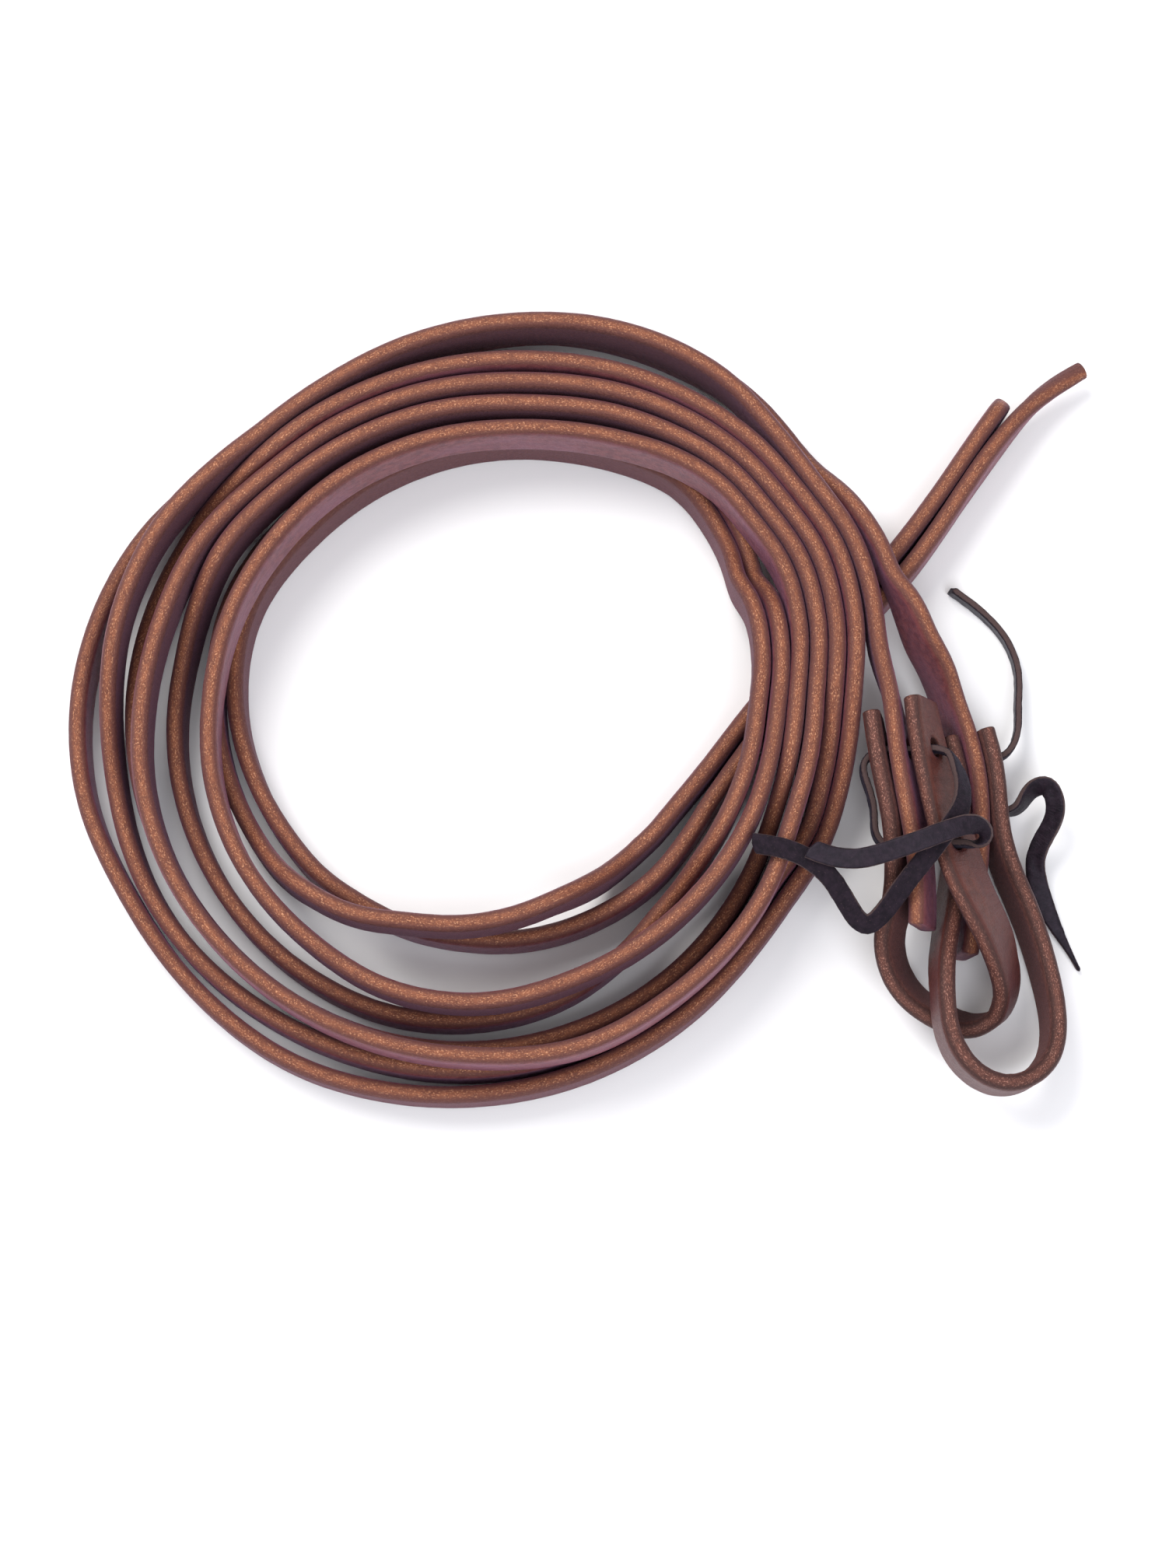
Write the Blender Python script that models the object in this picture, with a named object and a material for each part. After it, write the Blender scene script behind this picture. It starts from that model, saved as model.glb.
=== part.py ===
"""A pair of leather split reins, coiled together, with laced bit loops.

Both reins lie on edge in one coil of four laps. Wherever two laps cross, the upper one rides in a second
layer, one strap width above the first. Metres, +Z up; the origin is under the middle of the whole pair.
"""

import math

import bmesh
import bpy
import numpy as np
from mathutils import Vector

MM = 0.001
STRAP_WIDTH = 16.0  # mm, a 5/8 inch strap
STRAP_THICKNESS = 4.6  # mm, heavy harness leather
LAYER_RISE = 16.4  # mm, from the first layer to the second, one strap width and a gap
PLY_PITCH = 5.1  # mm, from one ply of a bit end to the next
LACE_WIDTH = 5.2  # mm
LACE_THICKNESS = 1.8  # mm
HOLE_DIAMETER = 7.4  # mm, punched through the three plies of a bit end
TAPER_LENGTH = 42.0  # mm, of rein B's narrowed tail
STATION_STEP = 9.0  # mm, along a strap between two sections
LACE_STEP = 3.0  # mm, the same along a lace
SUPPORT_HEIGHT = STRAP_WIDTH / 2  # mm, the height of a strap's middle when it stands on the floor
COIL_CENTRE = Vector((-28.5, -1.9, 0.0))

# A lap key is (degrees clockwise from +X counted on from lap to lap, radius in mm).
LAPS_A = (
    (30, 58.0), (45, 56.3), (60, 56.9), (92, 60.3), (107, 62.3), (120, 65.8), (135, 67.8), (150, 68.0),
    (180, 70.0), (204, 72.1), (227, 72.4), (250, 75.2), (275, 79.4), (290, 82.4), (299, 85.0),
    (306, 86.6), (312, 87.3), (318, 86.4), (324, 85.1), (330, 83.0), (333, 81.7), (336, 81.4),
    (342, 81.5), (348, 80.8), (354, 79.8), (362, 78.4), (371, 78.0), (383, 78.1), (401, 77.9),
    (430, 78.6), (451, 80.5), (466, 80.0), (483, 77.2), (505, 74.5), (522, 71.9), (540, 69.1),
    (558, 68.0), (576, 67.6), (600, 68.7), (620, 70.3), (639, 72.9), (660, 79.0), (669, 82.6),
    (678, 85.2), (687, 86.0), (697, 87.3), (707, 86.2), (720, 83.4), (731, 82.9), (741, 83.1),
    (754, 84.7), (776, 87.8), (791, 89.4), (810, 91.0), (840, 91.9), (870, 91.5), (885, 91.4),
    (900, 91.2), (915, 90.6), (930, 89.6), (949, 86.2), (962, 87.0), (982, 89.2), (997, 91.6),
    (1020, 96.7), (1038, 99.9), (1047, 100.6), (1057, 102.2), (1067, 101.1), (1080, 98.2), (1091, 97.8),
    (1101, 97.7), (1111, 95.9), (1140, 98.6), (1153, 100.4), (1170, 102.5), (1182, 104.0), (1196, 105.5),
    (1215, 105.0), (1231, 104.6), (1248, 106.4), (1261, 105.9), (1273, 104.1), (1286, 101.2),
    (1302, 96.4), (1311, 95.4), (1320, 96.2), (1330, 98.2), (1340, 101.2), (1350, 104.8), (1361, 108.4),
    (1370, 110.0), (1380, 111.2), (1387, 112.0), (1392, 111.8), (1398, 110.8), (1404, 110.2),
    (1410, 111.3), (1416, 112.5), (1424, 113.9),
)
LAPS_B = (
    (25, 65.8), (33, 65.2), (43, 65.1), (62, 63.9), (78, 62.9), (93, 61.7), (107, 61.2), (121, 60.7),
    (133, 61.0), (145, 60.9), (162, 62.0), (181, 64.3), (204, 66.9), (227, 67.2), (250, 69.8),
    (275, 74.1), (290, 77.2), (299, 79.6), (306, 81.5), (312, 82.3), (318, 81.4), (324, 80.1),
    (330, 78.0), (333, 76.7), (336, 76.3), (342, 76.3), (348, 75.7), (354, 74.8), (362, 73.3),
    (371, 72.8), (386, 72.2), (399, 71.8), (409, 72.7), (420, 76.0), (433, 80.0), (451, 83.2),
    (466, 84.5), (481, 84.1), (511, 82.2), (526, 81.2), (541, 80.0), (557, 78.6), (570, 77.6),
    (589, 76.0), (602, 76.3), (622, 77.8), (638, 79.6), (660, 85.6), (678, 90.1), (687, 90.8),
    (697, 92.2), (707, 91.2), (720, 88.3), (731, 87.9), (741, 88.0), (754, 90.7), (779, 94.0),
    (792, 95.6), (811, 94.4), (836, 93.3), (872, 91.0), (885, 89.4), (899, 86.9), (913, 84.9),
    (928, 83.8), (949, 81.1), (962, 81.8), (982, 83.6), (997, 85.6), (1020, 91.4), (1038, 95.0),
    (1047, 95.7), (1057, 97.2), (1067, 96.1), (1080, 93.2), (1091, 92.8), (1101, 92.8), (1111, 90.5),
    (1122, 91.3), (1140, 93.2), (1170, 96.2), (1196, 97.7), (1231, 99.2), (1248, 97.8), (1261, 96.8),
    (1274, 96.0), (1288, 95.0), (1302, 92.4), (1310, 91.4), (1322, 92.7), (1340, 97.4), (1357, 102.3),
    (1366, 104.9), (1376, 106.9), (1388, 107.5), (1397, 105.9), (1407, 105.5), (1417, 107.2),
    (1427, 106.5),
)
# A climb key is (first degree, last degree) of one change between the first layer and the second.
CLIMBS_A = ((44, 72), (126, 154), (332, 350), (725, 753), (925, 955), (1074, 1101), (1400, 1418))
CLIMBS_B = ((322, 350), (381, 408), (545, 575), (1074, 1101), (1245, 1275))

# The stretches that aren't coiled: (x, y) of the strap's middle and the height of its middle, all in mm,
# and the lean in degrees, where a positive lean tips the upper edge to the left of the way along the strap.
TAIL_A = (
    (141.8, 85.6, 8.0, 0), (133.9, 74.5, 8.0, 0), (123.6, 59.4, 8.0, 0), (112.4, 44.3, 8.0, 0),
    (98.1, 27.5, 8.0, 0), (84.7, 13.0, 8.0, 0), (72.3, -1.0, 8.0, 0), (60.9, -15.9, 8.0, 0),
)
TAIL_B = (
    (163.6, 95.2, 8.1, 50), (152.6, 87.9, 8.1, 15), (140.9, 75.2, 8.2, 0), (128.5, 57.8, 8.0, 0),
    (116.9, 41.1, 8.0, 0), (102.5, 24.5, 8.0, 0), (89.1, 10.1, 8.0, 0), (76.3, -4.5, 8.0, 0),
    (65.9, -18.5, 8.0, 0),
)
END_A = (
    (112.9, 25.0, 24.4, 10), (116.3, 17.6, 22.0, 14), (121.3, 9.2, 15.8, 14), (124.9, 1.0, 11.2, 12),
    (128.2, -7.0, 9.4, 9), (130.8, -18.0, 9.0, 8), (131.5, -31.0, 9.0, 8), (130.2, -48.0, 9.0, 8),
    (127.8, -66.0, 9.0, 8),
)
END_B = (
    (105.4, 12.0, 24.4, -2), (108.0, 2.0, 24.4, -7), (110.4, -12.0, 24.4, -14), (112.8, -26.0, 24.4, -18),
    (114.8, -38.5, 24.4, -18), (115.6, -50.0, 24.2, -18), (115.4, -60.5, 24.0, -18),
)
# The free part of each bit loop, from the right-hand ply round the bight to the left-hand ply.
BIGHT_A = (
    (136.8, -31.0, 8.5, 8), (139.2, -42.0, 8.4, 8), (142.8, -51.5, 8.6, 8), (146.2, -61.5, 9.0, 8),
    (148.8, -72.0, 9.8, 7), (150.2, -83.4, 11.6, 5), (147.6, -94.2, 14.4, 3), (138.4, -100.4, 18.2, 0),
    (129.4, -98.8, 22.0, -1), (123.1, -92.6, 24.8, -3), (120.5, -84.0, 25.4, -4),
    (120.2, -76.0, 25.0, -4), (120.9, -68.0, 20.8, -6), (122.6, -59.0, 15.0, -8),
    (124.2, -50.0, 11.2, -8), (125.9, -40.0, 9.8, -8), (126.4, -30.0, 9.7, -8),
)
LOOP_B = (
    (115.8, -0.6, 26.0, -26), (116.7, -7.0, 26.2, -29), (118.0, -14.6, 26.4, -32),
    (119.8, -22.8, 26.8, -36), (121.8, -31.0, 27.2, -40), (124.0, -39.2, 27.6, -42),
    (126.6, -47.3, 27.8, -42), (130.1, -55.3, 27.6, -39), (134.0, -63.1, 25.4, -36),
    (136.9, -70.5, 20.2, -28), (137.6, -77.6, 13.6, -16), (135.2, -82.2, 10.0, 0),
    (129.0, -84.0, 8.5, 18), (121.8, -81.8, 8.4, 24), (115.2, -77.6, 9.0, 25), (110.6, -72.2, 11.0, 26),
    (108.3, -66.7, 13.8, 25), (107.8, -61.0, 17.2, 23), (109.0, -53.8, 20.6, 19),
    (109.6, -46.0, 22.2, 18), (109.3, -36.0, 23.2, 18), (108.3, -28.5, 23.4, 18),
    (106.9, -22.4, 23.5, 16), (104.8, -12.0, 23.5, 12), (103.5, -4.0, 23.6, 9),
)
LACE_A = (
    (126.6, 34.8, 3.2, 0), (134.6, 28.6, 3.2, 0), (141.4, 20.4, 3.4, 0), (144.2, 11.0, 4.4, 0),
    (143.8, 1.0, 6.0, 0), (142.8, -7.2, 7.2, 0), (139.6, -11.8, 7.9, 0), (135.6, -13.0, 8.4, 0),
    (130.0, -13.0, 9.1, 0), (125.0, -13.0, 9.8, 0), (121.0, -15.7, 10.1, 0), (121.6, -20.0, 10.0, 0),
    (122.2, -25.2, 9.9, 0), (126.4, -27.2, 9.7, 0), (131.7, -27.2, 9.0, 0), (138.0, -27.2, 8.4, 0),
    (142.6, -26.4, 8.9, 20), (146.0, -22.2, 11.2, 45), (149.8, -21.2, 13.4, 58), (152.2, -26.0, 13.2, 60),
    (150.4, -32.6, 10.2, 62), (147.6, -39.0, 6.8, 68), (148.4, -46.6, 4.4, 78), (151.6, -54.8, 3.0, 84),
    (155.2, -61.6, 2.2, 86), (159.0, -68.8, 1.6, 88),
)
LACE_B = (
    (85.4, -41.8, 36.8, 84), (92.0, -44.0, 36.2, 84), (99.0, -44.4, 36.8, 84), (106.0, -42.8, 38.4, 84),
    (112.4, -40.8, 39.8, 84), (118.4, -38.6, 40.0, 84), (124.0, -36.6, 39.4, 76),
    (128.4, -36.0, 37.4, 58), (130.6, -37.8, 34.6, 36), (129.6, -39.5, 32.0, 14), (126.6, -39.6, 30.4, 0),
    (121.0, -39.5, 28.5, 0), (113.2, -39.5, 25.9, 0), (107.6, -39.5, 24.0, 0), (104.4, -37.0, 23.0, 0),
    (103.4, -30.0, 22.6, 0), (101.8, -22.6, 22.5, 0), (101.2, -16.8, 22.7, 0), (105.4, -14.0, 23.6, 0),
    (110.7, -14.0, 24.9, 0), (117.7, -14.0, 26.7, 0), (122.4, -15.2, 28.4, -10),
    (124.6, -19.5, 30.6, -30), (125.6, -25.0, 33.0, -46), (124.6, -31.0, 35.4, -64),
    (121.0, -37.0, 36.9, -82), (116.4, -43.0, 36.6, -84), (111.0, -49.6, 35.0, -80),
    (105.4, -56.8, 32.2, -66), (100.6, -60.6, 30.6, -60), (95.2, -55.0, 31.8, -72),
    (89.2, -47.0, 34.0, -84), (80.8, -42.0, 34.2, -85), (71.0, -40.0, 33.8, -85),
)
HOLES_A = (((116.0, -13.0, 11.1), (144.0, -13.0, 7.2)), ((116.0, -27.2, 11.1), (147.0, -27.2, 6.8)))
HOLES_B = (((98.0, -14.0, 21.6), (126.0, -14.0, 28.8)), ((101.0, -39.5, 21.8), (130.0, -39.5, 31.5)))
LACED_A = END_A[4:6]  # where the plies of rein A's bit loop lie against the strap


def smooth_step(value):
    value = min(max(value, 0.0), 1.0)
    return value * value * (3 - 2 * value)


def height_at(degrees, climbs):
    """The height of a strap's middle in mm, where it goes from layer to layer at each climb in turn."""
    layer = sum(
        (-1) ** turn * smooth_step((degrees - first) / (last - first))
        for turn, (first, last) in enumerate(climbs)
    )
    return SUPPORT_HEIGHT + LAYER_RISE * layer


def lap_points(keys, climbs, step=5.0):
    """Points along the laps, with the radius eased from key to key."""
    angles, radii = (np.array(column, float) for column in zip(*keys))
    slopes = np.gradient(radii, angles)
    points = []
    for degrees in np.append(np.arange(angles[0], angles[-1] - step / 2, step), angles[-1]):
        k = min(int(np.searchsorted(angles, degrees, side="right")) - 1, len(angles) - 2)
        gap = angles[k + 1] - angles[k]
        t = (degrees - angles[k]) / gap
        radius = (
            (1 + 2 * t) * (1 - t) ** 2 * radii[k]
            + t * (1 - t) ** 2 * gap * slopes[k]
            + t * t * (3 - 2 * t) * radii[k + 1]
            + t * t * (t - 1) * gap * slopes[k + 1]
        )
        turn = math.radians(degrees)
        points.append((radius * math.cos(turn), -radius * math.sin(turn), height_at(degrees, climbs), 0.0))
    return points


def spline_second_derivatives(places, values):
    """The second derivatives at the knots of a natural cubic spline."""
    gaps = np.diff(places)
    matrix = np.eye(len(places))
    right = np.zeros_like(values)
    for k in range(1, len(places) - 1):
        matrix[k, k - 1 : k + 2] = gaps[k - 1], 2 * (gaps[k - 1] + gaps[k]), gaps[k]
        right[k] = 6 * ((values[k + 1] - values[k]) / gaps[k] - (values[k] - values[k - 1]) / gaps[k - 1])
    return np.linalg.solve(matrix, right)


def stations_through(points, step):
    """Rows of x, y, z and lean, evenly spaced along the smooth curve through the points."""
    values = np.array(points, float)
    places = np.append(0, np.cumsum(np.linalg.norm(np.diff(values[:, :3], axis=0), axis=1)))
    bends = spline_second_derivatives(places, values)
    fine = np.linspace(0, places[-1], int(places[-1] / 0.5) + 2)
    k = np.clip(np.searchsorted(places, fine, side="right") - 1, 0, len(places) - 2)
    gap = np.diff(places)[k][:, None]
    after = (fine - places[k])[:, None] / gap
    before = 1 - after
    curve = before * values[k] + after * values[k + 1]
    curve += ((before**3 - before) * bends[k] + (after**3 - after) * bends[k + 1]) * gap**2 / 6
    lengths = np.append(0, np.cumsum(np.linalg.norm(np.diff(curve[:, :3], axis=0), axis=1)))
    even = np.linspace(0, lengths[-1], round(lengths[-1] / step) + 1)
    return np.column_stack([np.interp(even, lengths, column) for column in curve.T])


def section_axes(stations):
    """At each station, the direction to the right across the faces and the direction up the strap's width."""
    way = np.gradient(stations[:, :3], axis=0)
    way /= np.linalg.norm(way, axis=1)[:, None]
    right = np.cross(way, (0, 0, 1))
    right /= np.linalg.norm(right, axis=1)[:, None]
    up = np.cross(right, way)
    lean = np.radians(stations[:, 3])[:, None]
    return np.cos(lean) * right + np.sin(lean) * up, np.cos(lean) * up - np.sin(lean) * right


def ply_beside(points, side):
    """The points of a ply against the strap, to its right for a side of 1 and to its left for -1."""
    rows = np.array(points, float)
    across, _ = section_axes(rows)
    rows[:, :3] += side * PLY_PITCH * across
    return [tuple(row) for row in rows]


def reversed_way(points):
    """The same points walked the other way, so that the lean changes sign."""
    return [(x, y, z, -lean) for x, y, z, lean in reversed(points)]


def make_material(name, color, roughness):
    material = bpy.data.materials.new(name)
    material.use_nodes = True
    shader = material.node_tree.nodes["Principled BSDF"]
    shader.inputs["Base Color"].default_value = (*color, 1)
    shader.inputs["Roughness"].default_value = roughness
    return material


def sweep_strap(name, stations, width, thickness, material, width_scale=None):
    """A flat strap along the stations, as a closed skin of four long faces and two ends."""
    across, up = section_axes(stations)
    scale = np.ones(len(stations)) if width_scale is None else width_scale
    mesh = bpy.data.meshes.new(name)
    shape = bmesh.new()
    rings = []
    for k, row in enumerate(stations):
        middle = Vector(row[:3]) + COIL_CENTRE
        half_width = Vector(up[k]) * width / 2 * scale[k]
        half_thickness = Vector(across[k]) * thickness / 2
        corners = ((-1, -1), (1, -1), (1, 1), (-1, 1))
        rings.append(
            [shape.verts.new((middle + half_thickness * a + half_width * b) * MM) for a, b in corners]
        )
    for ring, following in zip(rings, rings[1:]):
        for k in range(4):
            shape.faces.new((ring[k], ring[k - 1], following[k - 1], following[k]))
    shape.faces.new(rings[0])
    shape.faces.new(rings[-1][::-1])
    bmesh.ops.recalc_face_normals(shape, faces=shape.faces)
    shape.to_mesh(mesh)
    shape.free()
    mesh.materials.append(material)
    strap = bpy.data.objects.new(name, mesh)
    bpy.context.scene.collection.objects.link(strap)
    return strap


def punch_hole(strap, ends, number):
    """A round hole cut through the strap along the line between two points in mm."""
    first, last = (Vector(end) + COIL_CENTRE for end in ends)
    mesh = bpy.data.meshes.new("hole_cutter")
    shape = bmesh.new()
    radius = HOLE_DIAMETER / 2 * MM
    bmesh.ops.create_cone(
        shape, cap_ends=True, segments=16, radius1=radius, radius2=radius, depth=(last - first).length * MM
    )
    shape.to_mesh(mesh)
    shape.free()
    cutter = bpy.data.objects.new(f"cutter_{number}_{strap.name}", mesh)
    bpy.context.scene.collection.objects.link(cutter)
    cutter.location = (first + last) / 2 * MM
    cutter.rotation_euler = (last - first).to_track_quat("Z", "Y").to_euler()
    cutter.hide_render = True
    cutter.display_type = "WIRE"
    hole = strap.modifiers.new(f"hole_{number}", "BOOLEAN")
    hole.operation = "DIFFERENCE"
    hole.solver = "EXACT"
    hole.object = cutter


def clear_scene():
    for item in list(bpy.data.objects):
        bpy.data.objects.remove(item, do_unlink=True)


def rein_routes():
    """The stations of both straps and both bit loops."""
    rein_a = stations_through([*TAIL_A, *lap_points(LAPS_A, CLIMBS_A), *END_A], STATION_STEP)
    rein_b = stations_through([*TAIL_B, *lap_points(LAPS_B, CLIMBS_B), *END_B], STATION_STEP)
    for rein in (rein_a, rein_b):
        rein[:, 2] = np.maximum(rein[:, 2], SUPPORT_HEIGHT)
    plies = [*ply_beside(LACED_A, -1), *BIGHT_A, *reversed_way(ply_beside(LACED_A, 1))]
    return rein_a, rein_b, stations_through(plies, STATION_STEP / 2), stations_through(LOOP_B, STATION_STEP / 2)


def tip_scale(stations, shape):
    """The width of a strap at each station as a share of its full width, from the shape of its tail."""
    lengths = np.append(0, np.cumsum(np.linalg.norm(np.diff(stations[:, :3], axis=0), axis=1)))
    return np.array([shape(length) for length in lengths])


def rounded_tail(length):
    radius = STRAP_WIDTH / 2
    inset = max(radius - length, 0.0)
    return max(math.sqrt(max(radius**2 - inset**2, 0.0)) / radius, 0.35)


def tapered_tail(length):
    return 0.3 + 0.7 * smooth_step(length / TAPER_LENGTH)


def main():
    clear_scene()
    leather = make_material("harness_leather", (0.16, 0.06, 0.04), 0.55)
    bit_leather = make_material("bit_end_leather", (0.15, 0.055, 0.045), 0.45)
    latigo = make_material("latigo_lace", (0.03, 0.018, 0.02), 0.4)
    rein_a, rein_b, loop_a, loop_b = rein_routes()
    strap_size = STRAP_WIDTH, STRAP_THICKNESS
    lace_size = LACE_WIDTH, LACE_THICKNESS
    strap_a = sweep_strap("rein_a_strap", rein_a, *strap_size, leather, tip_scale(rein_a, rounded_tail))
    strap_b = sweep_strap("rein_b_strap", rein_b, *strap_size, leather, tip_scale(rein_b, tapered_tail))
    bit_loop_a = sweep_strap("rein_a_bit_loop", loop_a, *strap_size, bit_leather)
    bit_loop_b = sweep_strap("rein_b_bit_loop", loop_b, *strap_size, bit_leather)
    sweep_strap("rein_a_tie_string", stations_through(LACE_A, LACE_STEP), *lace_size, latigo)
    sweep_strap("rein_b_tie_string", stations_through(LACE_B, LACE_STEP), *lace_size, latigo)
    for number in range(len(HOLES_A)):
        for strap in (strap_a, bit_loop_a):
            punch_hole(strap, HOLES_A[number], number)
        for strap in (strap_b, bit_loop_b):
            punch_hole(strap, HOLES_B[number], number)


if __name__ == "__main__":
    main()
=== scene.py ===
import math

import bmesh
import bpy
import numpy as np
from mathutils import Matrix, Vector


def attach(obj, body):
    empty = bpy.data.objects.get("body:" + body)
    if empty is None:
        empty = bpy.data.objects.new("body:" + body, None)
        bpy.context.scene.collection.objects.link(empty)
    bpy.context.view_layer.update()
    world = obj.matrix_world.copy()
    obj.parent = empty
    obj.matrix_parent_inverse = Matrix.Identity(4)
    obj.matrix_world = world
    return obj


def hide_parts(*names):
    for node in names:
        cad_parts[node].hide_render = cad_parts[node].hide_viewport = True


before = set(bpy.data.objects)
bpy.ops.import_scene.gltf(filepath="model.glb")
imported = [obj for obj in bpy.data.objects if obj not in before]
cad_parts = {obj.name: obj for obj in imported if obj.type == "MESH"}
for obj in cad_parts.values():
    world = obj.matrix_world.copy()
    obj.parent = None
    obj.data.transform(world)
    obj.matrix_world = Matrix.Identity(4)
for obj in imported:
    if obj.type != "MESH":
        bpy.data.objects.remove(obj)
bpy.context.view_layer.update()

MM = 0.001
COIL_CENTRE = np.array((-28.5, -1.9, 0.0))
HOLE_RADIUS = 2.9  # mm, drawn tight round the lace
POINT_LENGTH = 24.0  # mm, over which the end of lace A narrows
END_ROUND = 0.7  # mm, the softened rim of a cut end
END_RINGS = (0.0, 0.12, 0.4, 0.75, 1.2, 1.9, 2.9, 4.2, 5.6, 7.2)  # mm from a cut end to its rings
END_REACH = 9.0  # mm from a cut end over which its slant fades out
TEXTURE_SHIFT = 997.0  # mm, keeps the patterns of two straps apart
GENTLE_BEND, BEND_RANGE = 0.022, 0.03  # 1/mm, where wrinkles start and how soon they are full
WRINKLE_DEPTH, WRINKLE_LENGTH = 0.1, 1.7  # mm
HOLE_RIM_DEPTH, HOLE_RIM_WIDTH = 0.22, 0.7  # mm, of the soft dip round a hole

CAMERA_LENS = 77.14  # mm, on a 36 mm sensor
CAMERA_ELEVATION = 79.0  # degrees above the floor
CAMERA_DISTANCE = 0.9  # m
CAMERA_TARGET = (29.0, -18.0, 0.0)  # mm, from the coil's centre

KEY_POWER = 15.0  # W
FRONT_POWER = 7.0  # W
WORLD_COLOUR = (0.98, 0.975, 1.0)
WORLD_STRENGTH = 0.72
FLOOR_COLOURS = ((0.86, 0.86, 0.87), (0.88, 0.88, 0.89))
FLOOR_SIDE = 4.0  # m, from its middle to each side
FLOOR_HEIGHT = -0.0002  # m, just under the coil

# Each set starts with a dark and a middle colour. The third is the bright fibres of an edge, the patches
# of a grain face (in the harness leather mauve, a painted sheen), the raised nap of a flesh face and the raw
# leather of a lace; the fourth is painted shade on an edge's rounded flanks and along its border with the
# faces.
EDGE_COLOURS = ((0.125, 0.037, 0.021), (0.240, 0.080, 0.038), (0.58, 0.28, 0.15), (0.088, 0.028, 0.025))
GRAIN_COLOURS = ((0.115, 0.030, 0.031), (0.195, 0.057, 0.055), (0.205, 0.080, 0.115))
FLESH_COLOURS = ((0.070, 0.025, 0.021), (0.135, 0.049, 0.040), (0.27, 0.125, 0.095))
BIT_EDGE_COLOURS = ((0.062, 0.020, 0.015), (0.125, 0.043, 0.030), (0.42, 0.20, 0.15), (0.032, 0.010, 0.009))
BIT_GRAIN_COLOURS = ((0.070, 0.018, 0.012), (0.105, 0.029, 0.020), (0.080, 0.024, 0.024))
EDGE_START = 0.35  # how far round a corner, as a sine, the edge's look takes over from the face's
LACE_COLOURS = ((0.005, 0.003, 0.005), (0.014, 0.008, 0.013), (0.105, 0.066, 0.058))


# ---------------------------------------------------------------- the routes' points, as in the CAD, in mm

STRAP_WIDTH = 16.0  # mm, a 5/8 inch strap
STRAP_THICKNESS = 4.6  # mm, heavy harness leather
LAYER_RISE = 16.4  # mm, from the first layer to the second, one strap width and a gap
PLY_PITCH = 5.1  # mm, from one ply of a bit end to the next
LACE_WIDTH = 5.2  # mm
LACE_THICKNESS = 1.8  # mm
TAPER_LENGTH = 42.0  # mm, of rein B's narrowed tail
SUPPORT_HEIGHT = STRAP_WIDTH / 2  # mm, the height of a strap's middle when it stands on the floor
CURVE_STEP = 0.5  # mm, between two rows of a smooth curve

# A lap key is (degrees clockwise from +X counted on from lap to lap, radius in mm).
LAPS_A = (
    (30, 58.0), (45, 56.3), (60, 56.9), (92, 60.3), (107, 62.3), (120, 65.8), (135, 67.8), (150, 68.0),
    (180, 70.0), (204, 72.1), (227, 72.4), (250, 75.2), (275, 79.4), (290, 82.4), (299, 85.0),
    (306, 86.6), (312, 87.3), (318, 86.4), (324, 85.1), (330, 83.0), (333, 81.7), (336, 81.4),
    (342, 81.5), (348, 80.8), (354, 79.8), (362, 78.4), (371, 78.0), (383, 78.1), (401, 77.9),
    (430, 78.6), (451, 80.5), (466, 80.0), (483, 77.2), (505, 74.5), (522, 71.9), (540, 69.1),
    (558, 68.0), (576, 67.6), (600, 68.7), (620, 70.3), (639, 72.9), (660, 79.0), (669, 82.6),
    (678, 85.2), (687, 86.0), (697, 87.3), (707, 86.2), (720, 83.4), (731, 82.9), (741, 83.1),
    (754, 84.7), (776, 87.8), (791, 89.4), (810, 91.0), (840, 91.9), (870, 91.5), (885, 91.4),
    (900, 91.2), (915, 90.6), (930, 89.6), (949, 86.2), (962, 87.0), (982, 89.2), (997, 91.6),
    (1020, 96.7), (1038, 99.9), (1047, 100.6), (1057, 102.2), (1067, 101.1), (1080, 98.2), (1091, 97.8),
    (1101, 97.7), (1111, 95.9), (1140, 98.6), (1153, 100.4), (1170, 102.5), (1182, 104.0), (1196, 105.5),
    (1215, 105.0), (1231, 104.6), (1248, 106.4), (1261, 105.9), (1273, 104.1), (1286, 101.2),
    (1302, 96.4), (1311, 95.4), (1320, 96.2), (1330, 98.2), (1340, 101.2), (1350, 104.8), (1361, 108.4),
    (1370, 110.0), (1380, 111.2), (1387, 112.0), (1392, 111.8), (1398, 110.8), (1404, 110.2),
    (1410, 111.3), (1416, 112.5), (1424, 113.9),
)
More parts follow.
